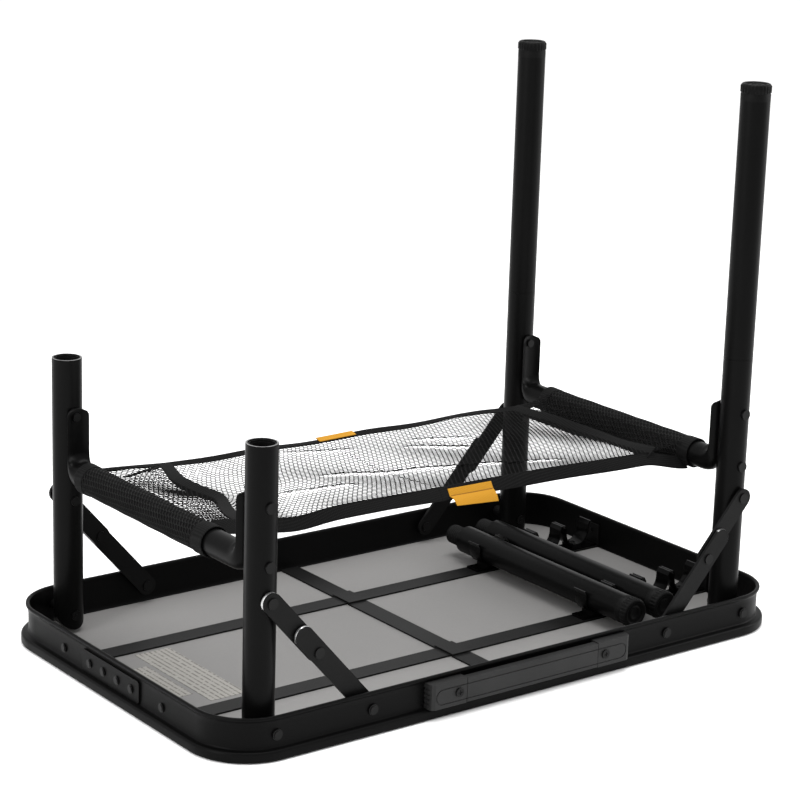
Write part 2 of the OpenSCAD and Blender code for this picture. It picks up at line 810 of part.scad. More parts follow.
top_panel();
rim_frame();
splice_plate();
side_rivets();
rim_rivets();
pivot_spacers();
rib_long_front();
rib_long_back();
rib_cross();
clip_strip_front();
clip_strip_back();
clip_rivets();
handle_end_left();
handle_end_right();
handle_strap();
handle_screws();
labels();
leg_lf();
leg_lb();
crossbar_left();
leg_screws_left();
brace_pins_left();
sockets_left();
pivot_plugs_left();
sleeve_left();
leg_rf();
leg_rb();
crossbar_right();
leg_screws_right();
brace_pins_right();
sockets_right();
pivot_plugs_right();
sleeve_right();
ext_rf_tube();
ext_rf_stud();
ext_rf_foot();
ext_rb_tube();
ext_rb_stud();
ext_rb_foot();
ext_s1_tube();
ext_s1_stud();
ext_s1_foot();
ext_s2_tube();
ext_s2_stud();
ext_s2_foot();
brace_lf_upper();
brace_lf_lower();
brace_lf_rivet();
brace_lb_upper();
brace_lb_lower();
brace_lb_rivet();
brace_rf_upper();
brace_rf_lower();
brace_rf_rivet();
brace_rb_upper();
brace_rb_lower();
brace_rb_rivet();
net_left();
net_right();
tags();
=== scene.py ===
"""Looks of the folding table: camera, studio, procedural materials, the mesh shelf and rounded metal parts.

Lengths are in millimetres in the row frame and go through MM where Blender needs metres. +X runs to the legs
with the fitted extensions, +Y away from the carry handle, and +Z from the working face to the feet. A side is
-1 for left and 1 for right, and sx and sy are signs along X and Y.
"""

import math

import bmesh
import bpy
from mathutils import Euler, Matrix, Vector


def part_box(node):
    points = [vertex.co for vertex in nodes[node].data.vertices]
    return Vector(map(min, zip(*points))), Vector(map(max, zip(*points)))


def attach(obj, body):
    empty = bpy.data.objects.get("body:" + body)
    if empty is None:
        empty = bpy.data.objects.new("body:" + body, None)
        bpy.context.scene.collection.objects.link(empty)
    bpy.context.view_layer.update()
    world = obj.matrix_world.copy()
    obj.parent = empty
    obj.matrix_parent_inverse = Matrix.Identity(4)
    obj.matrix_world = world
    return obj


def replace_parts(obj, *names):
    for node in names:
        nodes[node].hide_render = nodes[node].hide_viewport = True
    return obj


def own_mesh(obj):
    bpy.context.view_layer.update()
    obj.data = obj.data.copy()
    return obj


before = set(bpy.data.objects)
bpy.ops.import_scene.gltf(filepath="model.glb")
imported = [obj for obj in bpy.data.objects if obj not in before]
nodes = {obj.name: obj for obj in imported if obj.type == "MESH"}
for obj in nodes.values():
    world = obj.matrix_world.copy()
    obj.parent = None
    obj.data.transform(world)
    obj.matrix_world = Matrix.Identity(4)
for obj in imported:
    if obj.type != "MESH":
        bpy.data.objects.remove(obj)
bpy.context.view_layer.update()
MM = 0.001

# ---- sizes in millimetres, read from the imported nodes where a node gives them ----


def span(node, axis):
    """Lowest and highest coordinate of a node along an axis."""
    low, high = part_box(node)
    return low[axis] / MM, high[axis] / MM


RIM_HALF_X = span("rim_frame", 0)[1]
RIM_HALF_Y = span("rim_frame", 1)[1]
BEAD_OUT = 4.0  # from the rim's lip line to the outside of its bead
LIP_X = RIM_HALF_X - BEAD_OUT
LIP_Y = RIM_HALF_Y - BEAD_OUT
CORNER_R = 47.0  # of the lip line
LEG_LOW, LEG_HIGH = span("leg_rf", 0)
LEG_X = (LEG_LOW + LEG_HIGH) / 2
LEG_Y = sum(span("leg_rb", 1)) / 2
TUBE_R = (LEG_HIGH - LEG_LOW) / 2
LEG_TOP = span("leg_rf", 2)[1]
BAR_R = 11.0
BAR_Z = sum(span("sleeve_right", 2)) / 2
SLEEVE_R = (span("sleeve_right", 2)[1] - span("sleeve_right", 2)[0]) / 2
SLEEVE_ENDS = {-1: span("sleeve_left", 1), 1: span("sleeve_right", 1)}
NET_SPLIT = span("net_left", 0)[1]
LINK_T = 2.5  # thickness of a brace link
LINK_R = 8.25  # radius of its ends
CLEAR = 0.05  # keeps a drawn face off the face it lies on
SIDES = {-1: "left", 1: "right"}

# ---- mesh helpers ----


def piece(name, verts, faces, material, body):
    """A smooth-shaded mesh of points in millimetres, riding on a body."""
    mesh = bpy.data.meshes.new(name)
    mesh.from_pydata([tuple(c * MM for c in v) for v in verts], [], faces)
    mesh.validate()
    bm = bmesh.new()
    bm.from_mesh(mesh)
    bmesh.ops.recalc_face_normals(bm, faces=bm.faces)
    bm.to_mesh(mesh)
    bm.free()
    for p in mesh.polygons:
        p.use_smooth = True
    mesh.materials.append(material)
    obj = bpy.data.objects.new(name, mesh)
    bpy.context.scene.collection.objects.link(obj)
    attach(obj, body)
    return obj


def apply_modifiers(obj):
    """Turn the modifiers of an object into its mesh."""
    bpy.context.view_layer.update()
    deps = bpy.context.evaluated_depsgraph_get()
    mesh = bpy.data.meshes.new_from_object(obj.evaluated_get(deps))
    obj.modifiers.clear()
    obj.data = mesh
    return obj


def add_bevel(obj, width, segments, sharper_than):
    """A bevel on the edges that turn by more than an angle in degrees."""
    b = obj.modifiers.new("round", "BEVEL")
    b.width = width * MM
    b.segments = segments
    b.limit_method = "ANGLE"
    b.angle_limit = math.radians(sharper_than)
    return b


def solidify(obj, thickness, bevel):
    """Give a sheet its thickness, half to each side, and round its edges."""
    m = obj.modifiers.new("thick", "SOLIDIFY")
    m.thickness = thickness * MM
    m.offset = 0
    add_bevel(obj, bevel, segments=2, sharper_than=40)
    apply_modifiers(obj)
    for p in obj.data.polygons:
        p.use_smooth = True
    return obj


def grid(name, nu, nv, place, material, body, loop_u=False):
    """A sheet of nu x nv cells, where place(u, v) gives a point in millimetres.

    loop_u joins the last column to the first.
    """
    cols = nu if loop_u else nu + 1
    verts = [place(i / nu, j / nv) for j in range(nv + 1) for i in range(cols)]
    faces = []
    for j in range(nv):
        for i in range(nu):
            k = (i + 1) % cols
            faces.append((j * cols + i, j * cols + k, (j + 1) * cols + k, (j + 1) * cols + i))
    return piece(name, verts, faces, material, body)


def softened(node, body, width):
    """A copy of a CAD part with its sharp edges rounded, shown in its place."""
    obj = bpy.data.objects.new(f"soft_{node}", nodes[node].data.copy())
    bpy.context.scene.collection.objects.link(obj)
    bm = bmesh.new()
    bm.from_mesh(obj.data)
    bmesh.ops.remove_doubles(bm, verts=bm.verts, dist=1e-6)
    bmesh.ops.dissolve_limit(bm, angle_limit=math.radians(1), verts=bm.verts, edges=bm.edges)
    bm.to_mesh(obj.data)
    bm.free()
    add_bevel(obj, width, segments=3, sharper_than=35).harden_normals = True
    apply_modifiers(obj)
    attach(obj, body)
    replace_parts(obj, node)
    return obj


def smoothstep(t):
    """A rise from 0 to 1 with no kink at either end."""
    t = max(0.0, min(1.0, t))
    return t * t * (3 - 2 * t)


def lerp(a, b, t):
    return a + (b - a) * t


def bump_at(x, centre, width):
    """A bell curve of height 1."""
    return math.exp(-(((x - centre) / width) ** 2))


# ---- materials ----

WAVE_LENGTH = 314.16  # of a wave texture of scale 1, in millimetres
WORDS_PER_METRE = (280, 420)  # scale of the noise that breaks the label's rows
BLACK, WHITE = (0, 0, 0), (1, 1, 1)


def new_material(name):
    """An empty material: itself, its nodes and links, its shader and its texture coordinates."""
    m = bpy.data.materials.new(name)
    m.use_nodes = True
    m.node_tree.nodes.clear()
    n, l = m.node_tree.nodes, m.node_tree.links
    out = n.new("ShaderNodeOutputMaterial")
    bsdf = n.new("ShaderNodeBsdfPrincipled")
    l.new(bsdf.outputs[0], out.inputs[0])
    return m, n, l, bsdf, n.new("ShaderNodeTexCoord")


def ramp_between(n, dark, light, low, high):
    """Colour that goes from dark at low to light at high."""
    ramp = n.new("ShaderNodeValToRGB")
    for element, at, colour in zip(ramp.color_ramp.elements, (low, high), (dark, light)):
        element.position = at
        element.color = (*colour, 1)
    return ramp


def noise(n, scale, detail):
    tex = n.new("ShaderNodeTexNoise")
    tex.inputs["Scale"].default_value = scale
    tex.inputs["Detail"].default_value = detail
    return tex


def bands(n, l, source, direction, pitch, distortion=0.4):
    """Even bands, pitch in millimetres."""
    wave = n.new("ShaderNodeTexWave")
    wave.bands_direction = direction
    wave.inputs["Scale"].default_value = WAVE_LENGTH / pitch
    wave.inputs["Distortion"].default_value = distortion
    wave.inputs["Detail"].default_value = 1
    wave.inputs["Detail Scale"].default_value = 2
    l.new(source, wave.inputs[0])
    return wave


def multiply(n, l, a, b):
    """The product of two values, each a number or a socket."""
    m = n.new("ShaderNodeMath")
    m.operation = "MULTIPLY"
    for socket, value in zip(m.inputs, (a, b)):
        if isinstance(value, (int, float)):
            socket.default_value = value
        else:
            l.new(value, socket)
    return m.outputs[0]


def bumped(n, l, bsdf, height, strength, distance=0.0004):
    """Bump from a height socket; distance in metres."""
    b = n.new("ShaderNodeBump")
    b.inputs["Strength"].default_value = strength
    b.inputs["Distance"].default_value = distance
    l.new(height, b.inputs["Height"])
    l.new(b.outputs[0], bsdf.inputs["Normal"])


def surface(name, dark, light, rough, specular, grain, bump, mottle, metallic=0.0):
    """Mottled colour, varied roughness and a fine grain. Grain and mottle are per metre."""
    m, n, l, bsdf, coord = new_material(name)
    big = noise(n, mottle, 4)
    l.new(coord.outputs["Object"], big.inputs[0])
    ramp = ramp_between(n, dark, light, low=0.3, high=0.7)
    l.new(big.outputs["Fac"], ramp.inputs[0])
    l.new(ramp.outputs[0], bsdf.inputs["Base Color"])
    fine = noise(n, grain, 3)
    l.new(coord.outputs["Object"], fine.inputs[0])
    spread = n.new("ShaderNodeMapRange")
    spread.inputs["To Min"].default_value = rough[0]
    spread.inputs["To Max"].default_value = rough[1]
    l.new(fine.outputs["Fac"], spread.inputs[0])
    l.new(spread.outputs[0], bsdf.inputs["Roughness"])
    bumped(n, l, bsdf, fine.outputs["Fac"], bump)
    bsdf.inputs["Metallic"].default_value = metallic
    bsdf.inputs["Specular IOR Level"].default_value = specular
    return m


def woven(name, dark, light, pitches, directions=("X", "Y"), bump=0.5, specular=0.1):
    """Two crossing families of raised threads, pitches in millimetres."""
    m, n, l, bsdf, coord = new_material(name)
    waves = [bands(n, l, coord.outputs["Object"], d, p) for d, p in zip(directions, pitches)]
    cross = multiply(n, l, waves[0].outputs["Fac"], waves[1].outputs["Fac"])
    ramp = ramp_between(n, dark, light, low=0.15, high=0.8)
    l.new(cross, ramp.inputs[0])
    l.new(ramp.outputs[0], bsdf.inputs["Base Color"])
    bumped(n, l, bsdf, cross, bump)
    bsdf.inputs["Roughness"].default_value = 0.8
    bsdf.inputs["Specular IOR Level"].default_value = specular
    return m


def lined_film(name, paper, ink, pitch):
    """Film with broken rows of ink along Y, which stand for lines nobody can read."""
    m, n, l, bsdf, coord = new_material(name)
    rows = bands(n, l, coord.outputs["Object"], "X", pitch, distortion=0.0)
    row = ramp_between(n, BLACK, WHITE, low=0.68, high=0.8)
    l.new(rows.outputs["Fac"], row.inputs[0])
    stretch = n.new("ShaderNodeMapping")
    stretch.inputs["Scale"].default_value = (*WORDS_PER_METRE, 1)
    l.new(coord.outputs["Object"], stretch.inputs[0])
    words = noise(n, scale=1.0, detail=2)
    l.new(stretch.outputs[0], words.inputs[0])
    gaps = ramp_between(n, BLACK, WHITE, low=0.4, high=0.5)
    l.new(words.outputs["Fac"], gaps.inputs[0])
    mix = n.new("ShaderNodeMix")
    mix.data_type = "RGBA"
    mix.inputs["A"].default_value = (*paper, 1)
    mix.inputs["B"].default_value = (*ink, 1)
    l.new(multiply(n, l, row.outputs[0], gaps.outputs[0]), mix.inputs["Factor"])
    l.new(mix.outputs["Result"], bsdf.inputs["Base Color"])
    bsdf.inputs["Roughness"].default_value = 0.5
    bsdf.inputs["Specular IOR Level"].default_value = 0.3
    return m


def grey(level, warm=0.0):
    """A grey of one level, warmed by a share of it."""
    return (level * (1 + warm), level, level * (1 - warm))


# A surface gives its darkest and lightest colour, roughness from and to, specular, grain, bump and mottle.
black_metal = surface("black_metal", grey(0.0016), grey(0.0024), (0.28, 0.38), 0.06, 700, 0.05, 12)
rim_metal = surface("rim_metal", grey(0.0016), grey(0.0026), (0.34, 0.46), 0.055, 900, 0.07, 9)
rib_metal = surface("rib_metal", grey(0.004), grey(0.006), (0.42, 0.52), 0.12, 800, 0.06, 20)
link_metal = surface("link_metal", grey(0.003), grey(0.005), (0.36, 0.5), 0.08, 900, 0.1, 30)
rivet_metal = surface("rivet_metal", grey(0.0024), grey(0.004), (0.26, 0.36), 0.12, 900, 0.06, 60)
black_plastic = surface("black_plastic", grey(0.003), grey(0.005), (0.45, 0.58), 0.1, 1500, 0.2, 30)
handle_plastic = surface("handle_plastic", grey(0.009), grey(0.013), (0.45, 0.58), 0.2, 1500, 0.2, 30)
clip_metal = surface("clip_metal", grey(0.0012), grey(0.002), (0.2, 0.3), 0.06, 900, 0.05, 30)
foot_plastic = surface("foot_plastic", grey(0.0018), grey(0.003), (0.45, 0.6), 0.08, 1500, 0.25, 40)
# Bright metal of the slivers on the brace link ends: a painted highlight.
edge_highlight = surface("edge_highlight", grey(0.45), grey(0.62), (0.25, 0.4), 0.5, 1200, 0.1, 80, metallic=1.0)
# Light grey metal of the cut leg ends: a painted highlight.
cut_face_highlight = surface("cut_face_highlight", grey(0.1), grey(0.3), (0.3, 0.45), 0.4, 1500, 0.2, 160, metallic=0.8)
panel_board = surface("panel_board", grey(0.175, 0.02), grey(0.19, 0.02), (0.5, 0.62), 0.3, 500, 0.05, 5)
label_film = lined_film("label_film", (0.28, 0.272, 0.25), (0.12, 0.11, 0.1), 4.6)
thread = surface("net_thread", grey(0.002), grey(0.004), (0.6, 0.75), 0.08, 2500, 0.3, 60)
sleeve_thread = surface("sleeve_thread", grey(0.005), grey(0.009), (0.5, 0.65), 0.14, 2500, 0.3, 60)
sleeve_cloth_dark = woven("sleeve_cloth_dark", grey(0.002), grey(0.005), (1.4, 1.4), ("Y", "Z"))
tape_weave = woven("tape_weave", grey(0.002), grey(0.007), (1.5, 1.1))
TAG_DARK, TAG_LIGHT = (0.36, 0.165, 0.008), (0.5, 0.25, 0.018)
tag_twill = woven("tag_twill", TAG_DARK, TAG_LIGHT, (1.3, 1.0), ("DIAGONAL", "X"), bump=0.3, specular=0.2)
tag_stitch = surface("tag_stitch", (0.16, 0.07, 0.01), (0.22, 0.1, 0.015), (0.6, 0.7), 0.1, 1500, 0.1, 80)

# By the start of a node's name; the first that fits is used.
CAD_MATERIALS = {
    "top_panel": panel_board,
    "labels": label_film,
    "splice_plate": rim_metal,
    "rib_": rib_metal,
    "clip_strip": clip_metal,
    "clip_rivets": rivet_metal,
    "rim_frame": rim_metal,
    "rim_rivets": rivet_metal,
    "side_rivets": rivet_metal,
    "handle_screws": rivet_metal,
    "handle_": handle_plastic,
    "pivot_": black_plastic,
    "sockets": black_plastic,
    "leg_screws": rivet_metal,
    "leg_": black_metal,
    "crossbar": black_metal,
    "brace_pins": rivet_metal,
    "brace_": link_metal,
    "ext_": black_metal,
}


def cad_material(name):
    """The material of a node; what no rule names is cloth."""
    if name.endswith("_foot"):
        return foot_plastic
    if name.endswith("_stud"):
        return black_plastic
    if name.startswith("brace") and name.endswith("rivet"):
        return rivet_metal
    for start, material in CAD_MATERIALS.items():
        if name.startswith(start):
            return material
    return tape_weave


for name, obj in nodes.items():
    obj.data.materials.clear()
    obj.data.materials.append(cad_material(name))

# ---- camera, at the photograph's angle ----

# Found by fitting a camera to the table's corners and leg ends. Metres, a direction, degrees and millimetres.
CAMERA_AT = (-1.2306, -1.6028, 0.7641)
CAMERA_LOOK = (0.5848, 0.7658, -0.2674)
CAMERA_ROLL = 1.71
CAMERA_LENS = 112.8
CAMERA_SENSOR = 36

camera_data = bpy.data.cameras.new("camera")
camera_data.lens = CAMERA_LENS
camera_data.sensor_width = CAMERA_SENSOR
camera = bpy.data.objects.new("camera", camera_data)
look = Vector(CAMERA_LOOK).to_track_quat("-Z", "Y")
camera.rotation_mode = "QUATERNION"
camera.rotation_quaternion = look @ Euler((0, 0, math.radians(CAMERA_ROLL))).to_quaternion()
camera.location = CAMERA_AT
bpy.context.scene.collection.objects.link(camera)
bpy.context.scene.camera = camera

# ---- studio ----

SKY_STRENGTH = 1.02
# Name, place, aim, width and height in metres, and power in watts.
AREA_LIGHTS = (
    ("top", (0.1, 0.1, 2.3), (0, 0, 0), (1.3, 1.3), 42),
    ("left", (-2.2, -0.2, 1.2), (0, 0, 0.15), (0.8, 1.8), 24),
    ("right", (2.1, -0.9, 1.0), (0, 0, 0.15), (0.8, 1.6), 20),
)
FLOOR_HALF = 30.0  # metres
FLOOR_Z = -0.0006  # metres, just under the working face

bpy.context.scene.view_settings.view_transform = "Standard"
world = bpy.data.worlds.new("studio")
world.use_nodes = True
world.node_tree.nodes["Background"].inputs[0].default_value = (*WHITE, 1)
world.node_tree.nodes["Background"].inputs[1].default_value = SKY_STRENGTH
bpy.context.scene.world = world


def area_light(name, at, aim, size, power):
    data = bpy.data.lights.new(name, "AREA")
    data.shape = "RECTANGLE"
    data.size, data.size_y = size
    data.energy = power
    obj = bpy.data.objects.new(name, data)
    obj.location = at
    obj.rotation_euler = (Vector(aim) - Vector(at)).to_track_quat("-Z", "Y").to_euler()
    bpy.context.scene.collection.objects.link(obj)


for light in AREA_LIGHTS:
    area_light(*light)

floor_corners = [(x * FLOOR_HALF, y * FLOOR_HALF, FLOOR_Z) for x, y in ((-1, -1), (1, -1), (1, 1), (-1, 1))]
floor_mesh = bpy.data.meshes.new("floor")
floor_mesh.from_pydata(floor_corners, [], [(0, 1, 2, 3)])
floor = bpy.data.objects.new("floor", floor_mesh)
floor_mesh.materials.append(surface("floor_white", grey(0.96), grey(0.975), (0.8, 0.9), 0.1, 5, 0.0, 0.5))
bpy.context.scene.collection.objects.link(floor)

# ---- rim: one drawn profile swept around the tabletop ----

# Points of the section: out from the lip line, and height.
RIM_PROFILE = [
    (-1.6, 0.0), (2.6, 0.0), (3.5, 0.35), (3.9, 1.1), (4.0, 2.4), (4.0, 6.0), (3.75, 7.3), (3.0, 8.2),
    (1.9, 8.5), (-0.9, 8.6), (-1.7, 9.1), (-2.0, 10.2), (-2.15, 14.0), (-2.2, 20.0), (-2.1, 26.0),
    (-1.8, 29.5), (-1.1, 31.2), (-0.35, 31.9), (-0.05, 32.6), (0.0, 33.3), (-0.2, 34.0), (-0.7, 34.4),
    (-1.4, 34.5), (-2.4, 34.4), (-3.1, 34.05), (-3.5, 33.4), (-3.6, 32.4), (-3.6, 8.0), (-3.75, 5.0),
    (-4.2, 4.0), (-4.8, 3.55), (-4.8, 3.5), (-1.6, 3.5),
]
CORNER_STEPS = 14


def outline(offset):
    """Points of the plan outline, grown by offset from the lip line."""
    r = CORNER_R + offset
    cx, cy = LIP_X - CORNER_R, LIP_Y - CORNER_R
    out = []
    for k, (sx, sy) in enumerate(((1, 1), (-1, 1), (-1, -1), (1, -1))):
        for i in range(CORNER_STEPS + 1):
            a = math.radians(90 * k + 90 * i / CORNER_STEPS)
            out.append((sx * cx + r * math.cos(a), sy * cy + r * math.sin(a)))
    return out


def sweep(name, profile, material, body):
    """A closed profile carried around the plan outline."""
    rings = [[(x, y, z) for x, y in outline(o)] for o, z in profile]
    count = len(rings[0])
    verts = [p for ring in rings for p in ring]
    faces = []
    for k in range(len(rings)):
        k2 = (k + 1) % len(rings)
        for i in range(count):
            j = (i + 1) % count
            faces.append((k * count + i, k * count + j, k2 * count + j, k2 * count + i))
    return piece(name, verts, faces, material, body)


rim = sweep("rim_rounded", RIM_PROFILE, rim_metal, "table_top")
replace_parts(rim, "rim_frame")

# ---- soft edges on the moulded and pressed parts ----

HANDLE_EDGE = 0.9
STRIP_EDGE = 0.3

for node in ("handle_end_left", "handle_end_right", "handle_strap"):
    softened(node, "table_top", HANDLE_EDGE)
for node in ("clip_strip_front", "clip_strip_back"):
    softened(node, "table_top", STRIP_EDGE)

# ---- painted highlights: light metal on the cut leg ends and on the ends of the brace links ----


CUT_WALL = 1.5  # wall of a leg tube
CUT_LIFT = 0.02
CUT_DOME = 0.12
HIGHLIGHT_REACH = 0.3  # how far a sliver of painted highlight stands out at its middle
HIGHLIGHT_TAIL = {-1: (60, 150), 1: (-30, 150)}  # first angle and turn, in degrees
HIGHLIGHT_END = (70, 140)
UPPER_PIVOT_Z = 120.0
UPPER_LINK_INSET = 1.2  # from the low side of its CAD box to its plate


def cut_ring(name, centre, body):
    """A thin dome of light grey metal on the cut face of a leg tube: a painted highlight."""

    def place(u, v):
        a = 2 * math.pi * u
        r = lerp(TUBE_R - CUT_WALL, TUBE_R - CLEAR, v)
        z = LEG_TOP + CUT_LIFT + CUT_DOME * math.sin(math.pi * v)
        return (centre[0] + r * math.cos(a), centre[1] + r * math.sin(a), z)

    return grid(name, 64, 4, place, cut_face_highlight, body, loop_u=True)


for sy, end in ((-1, "front"), (1, "back")):
    cut_ring(f"cut_rim_{end}", (-LEG_X, sy * LEG_Y), "leg_frame_left")


def highlight_arc(name, centre, y, sy, arc, body):
    """A sliver of bright metal on the rounded end of a link: a painted highlight."""
    start, turn = arc

    def place(u, v):
        a = math.radians(start + turn * u)
        taper = math.sin(math.pi * u) ** 0.5
        r = LINK_R + CLEAR + HIGHLIGHT_REACH * taper * math.sin(math.pi * v)
        return (centre[0] + r * math.cos(a), y + sy * LINK_T * v, centre[1] + r * math.sin(a))

    return grid(name, 24, 4, place, edge_highlight, body)


def tail_of_link(node, sx):
    """Centre of the high rounded end of a lower link, in x and z."""
    low, high = span(node, 0)
    x = low + LINK_R if sx < 0 else high - LINK_R
    return x, span(node, 2)[1] - LINK_R


# Painted highlights on the tails of the lower links and on the end of the front left upper link.
for corner, sx, sy in (("lf", -1, -1), ("rf", 1, -1), ("lb", -1, 1), ("rb", 1, 1)):
    lower = f"brace_{corner}_lower"
    face = span(lower, 1)[0 if sy < 0 else 1]
    highlight_arc(f"highlight_tail_{corner}", tail_of_link(lower, sx), face, -sy, HIGHLIGHT_TAIL[sx], f"lower_link_{corner}")
upper_face = span("brace_lf_upper", 1)[0] + UPPER_LINK_INSET
highlight_arc("highlight_end_lf", (-LEG_X, UPPER_PIVOT_Z), upper_face, 1, HIGHLIGHT_END, "upper_link_lf")

# ---- feet and studs: turned shapes with ribs and a thread ----


def along_leg(node, flip):
    """A function that takes a point drawn along an extension, with z towards its foot, to where the node is.

    flip is for a stored extension, which lies along Y.
    """
    (x0, x1), (y0, y1), (z0, z1) = (span(node, k) for k in range(3))
    if flip:
        return lambda x, y, z: ((x0 + x1) / 2 + x, y0 - z, (z0 + z1) / 2 + y)
    return lambda x, y, z: ((x0 + x1) / 2 + x, (y0 + y1) / 2 + y, z1 + z)


# Points of the foot: radius, and height from its end.
FOOT_PROFILE = [
    (12.5, -14.0), (12.5, -8.4), (12.2, -8.1), (12.2, -7.5), (12.9, -7.1), (12.9, -1.9), (12.3, -1.2),
    (11.8, -0.4), (11.0, 0.0), (9.9, -0.05), (9.3, -0.4), (9.0, -1.45), (6.2, -1.5), (5.8, -1.0), (4.8, -1.0),
    (4.4, -1.5), (0.02, -1.5),
]
FOOT_RIBS = 26
RIB_BAND = (-7.2, -1.8)
RIB_FLOOR = 12.5  # only what stands out past this radius has ribs
RIB_DEPTH = 0.55
STUD_CORE = 8.9
STUD_TIP = 0.02
STUD_CHAMFER = 1.1
STUD_CHAMFER_L = 1.2
STUD_THREAD = 2.4  # pitch
THREAD_DEPTH = 0.95
THREAD_L = 18.6
THREAD_FADE = 0.6


def foot_shape(node, name, body, flip):
    """The ribbed foot, turned from its profile."""
    carry = along_leg(node, flip)
    last = len(FOOT_PROFILE) - 1

    def place(u, v):
        r, z = FOOT_PROFILE[round(v * last)]
        a = 2 * math.pi * u
        if RIB_BAND[0] < z < RIB_BAND[1] and r > RIB_FLOOR:
            r -= RIB_DEPTH * smoothstep(0.5 - 1.5 * math.cos(FOOT_RIBS * a))
        return carry(r * math.cos(a), r * math.sin(a), z)

    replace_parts(grid(name, FOOT_RIBS * 6, last, place, foot_plastic, body, loop_u=True), node)


def stud_shape(node, name, body, flip):
    """The threaded stud, drawn from its tip; the CAD box of the stud ends inside the tube."""
    (x0, x1), (y0, y1), (z0, z1) = (span(node, k) for k in range(3))
    middle = (x0 + x1) / 2
    length = (y1 - y0) if flip else (z1 - z0)

    def place(u, v):
        a = 2 * math.pi * u
        d = v * length
        in_tube = smoothstep((d - THREAD_L) / THREAD_FADE)
        wave = 0.5 - 0.5 * math.cos(2 * math.pi * (d / STUD_THREAD - u))
        r = lerp(STUD_CORE - THREAD_DEPTH * wave ** 1.5, (x1 - x0) / 2, in_tube)
        r = min(r, STUD_CORE - STUD_CHAMFER + d) if d < STUD_CHAMFER_L else r
        if v == 0:
            r = STUD_TIP
        x, y = r * math.cos(a), r * math.sin(a)
        if flip:
            return (middle + x, y1 - d, (z0 + z1) / 2 + y)
        return (middle + x, (y0 + y1) / 2 + y, z0 + d)

    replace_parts(grid(name, 40, 150, place, black_plastic, body, loop_u=True), node)


for key, flip in (("rf", False), ("rb", False), ("s1", True), ("s2", True)):
    foot_shape(f"ext_{key}_foot", f"foot_{key}", f"extension_{key}", flip)
    stud_shape(f"ext_{key}_stud", f"stud_{key}", f"extension_{key}", flip)

# ---- crossbars: a round bar whose ends bend up and flatten against the legs ----

TAB_HALF = 10.25
TAB_THICK = 2.6
TAB_TOP = 200.0
TAB_CORNER = 6.0
TAB_Y = LEG_Y - TUBE_R - CLEAR - TAB_THICK / 2
BEND_R = 17.0
SADDLE_R = TUBE_R + CLEAR + TAB_THICK / 2
FLAT_FROM, FLAT_OVER = 0.25, 1.25  # slope at which the bar starts to flatten, and the slope it takes
CREASE_DEPTH = 1.6
CREASE_AT, CREASE_SPREAD = 0.85, 0.3  # slopes
CREASE_HALF = 4.5


def bar_path(s):
    """Centre line of half a crossbar, in y and z, and its slope.

    s is 0 at the middle of the bar and 1 at the top of its tab.
    """
    straight = TAB_Y - BEND_R
    bend = BEND_R * math.pi / 2
    up = TAB_TOP - BAR_Z - BEND_R
    d = s * (straight + bend + up)
    if d < straight:
        return d, BAR_Z, 0.0
    if d < straight + bend:
        a = (d - straight) / BEND_R
        return straight + BEND_R * math.sin(a), BAR_Z + BEND_R * (1 - math.cos(a)), a
    return TAB_Y, BAR_Z + BEND_R + d - straight - bend, math.pi / 2


def bar_shape(side, word):
    """The whole crossbar, from tab to tab."""

    def place(u, v):
        t = 2 * v - 1
        sy = 1 if t > 0 else -1
        y, z, slope = bar_path(abs(t))
        flat = smoothstep((slope - FLAT_FROM) / FLAT_OVER)
        half = lerp(BAR_R, TAB_HALF, flat)
        thick = lerp(BAR_R, TAB_THICK / 2, flat)
        top = max(0.0, z - (TAB_TOP - TAB_CORNER))
        if top > 0:
            half = half - TAB_CORNER + math.sqrt(max(0.0, TAB_CORNER**2 - top * top))
        a = 2 * math.pi * u
        x = half * math.cos(a)
        n = thick * math.sin(a)
        hug = flat * (math.sqrt(SADDLE_R**2 - x * x) - SADDLE_R)
        crease = CREASE_DEPTH * bump_at(slope, CREASE_AT, CREASE_SPREAD) * bump_at(x, 0, CREASE_HALF)
        n -= hug + crease * max(0.0, math.sin(a))
        return (side * LEG_X + x, sy * (y - n * math.sin(slope)), z + n * math.cos(slope))

    body = f"leg_frame_{word}"
    bar = grid(f"bar_{word}", 40, 150, place, black_metal, body, loop_u=True)
    bm = bmesh.new()
    bm.from_mesh(bar.data)
    bmesh.ops.holes_fill(bm, edges=[e for e in bm.edges if e.is_boundary])
    bm.to_mesh(bar.data)
    bm.free()
    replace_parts(bar, f"crossbar_{word}")


for side, word in SIDES.items():
    bar_shape(side, word)

# ---- mesh shelf ----

# The lines of the shelf were read off the photograph, and each is a curve in x or y with the bends it shows.
TAPE_W = 12.0
TAPE_LEAN = math.radians(58)
TAPE_END = LEG_X - 5
FAR_TAPE_W = 6.0
FAR_TAPE_LEAN = math.radians(18)
SEAM_W = 12.0
SEAM_TIP = {-1: 0.2, 1: 0.5}
SEW_X = {-1: 180.0, 1: 203.0}
NEAR_INSET, FAR_NET_INSET = 3, 4  # from the middle of a tape to the edge of the net
NEAR_RISE = 5  # from the middle of the near tape to the edge of the net
NET_SAG = 14
CREASE_HEIGHT, CREASE_WIDTH = 2.3, 2.6
# Each crease: its y where x is 0, its slope, and the x it runs from and to.
CREASES = [
    (-13, -0.4, -80, 130),
    (60, -0.33, -90, 0),
    (79, -0.37, 45, 110),
    (64, -0.52, 30, 100),
    (-40, -0.25, -150, -60),
]


def near_y(x):
    """Middle of the near tape, which stands nearly on edge."""
    return -76 - 0.07 * x - 13 * smoothstep((-x - 195) / 45)


def near_z(x):
    """Height of the middle of the near tape."""
    z = 144.3 - 4.2 * bump_at(x, -155, 26) + 1.2 * bump_at(x, 80, 70)
    return z + 8.0 * smoothstep((-x - 190) / 45) - 8.5 * smoothstep((x - 188) / 50)


def far_y(x):
    """Middle of the far tape, which bows inward between the bars."""
    return 103.5 - 6.5 * x / LEG_X - 7 * (1 - (x / LEG_X) ** 2) - FAR_TAPE_W / 2


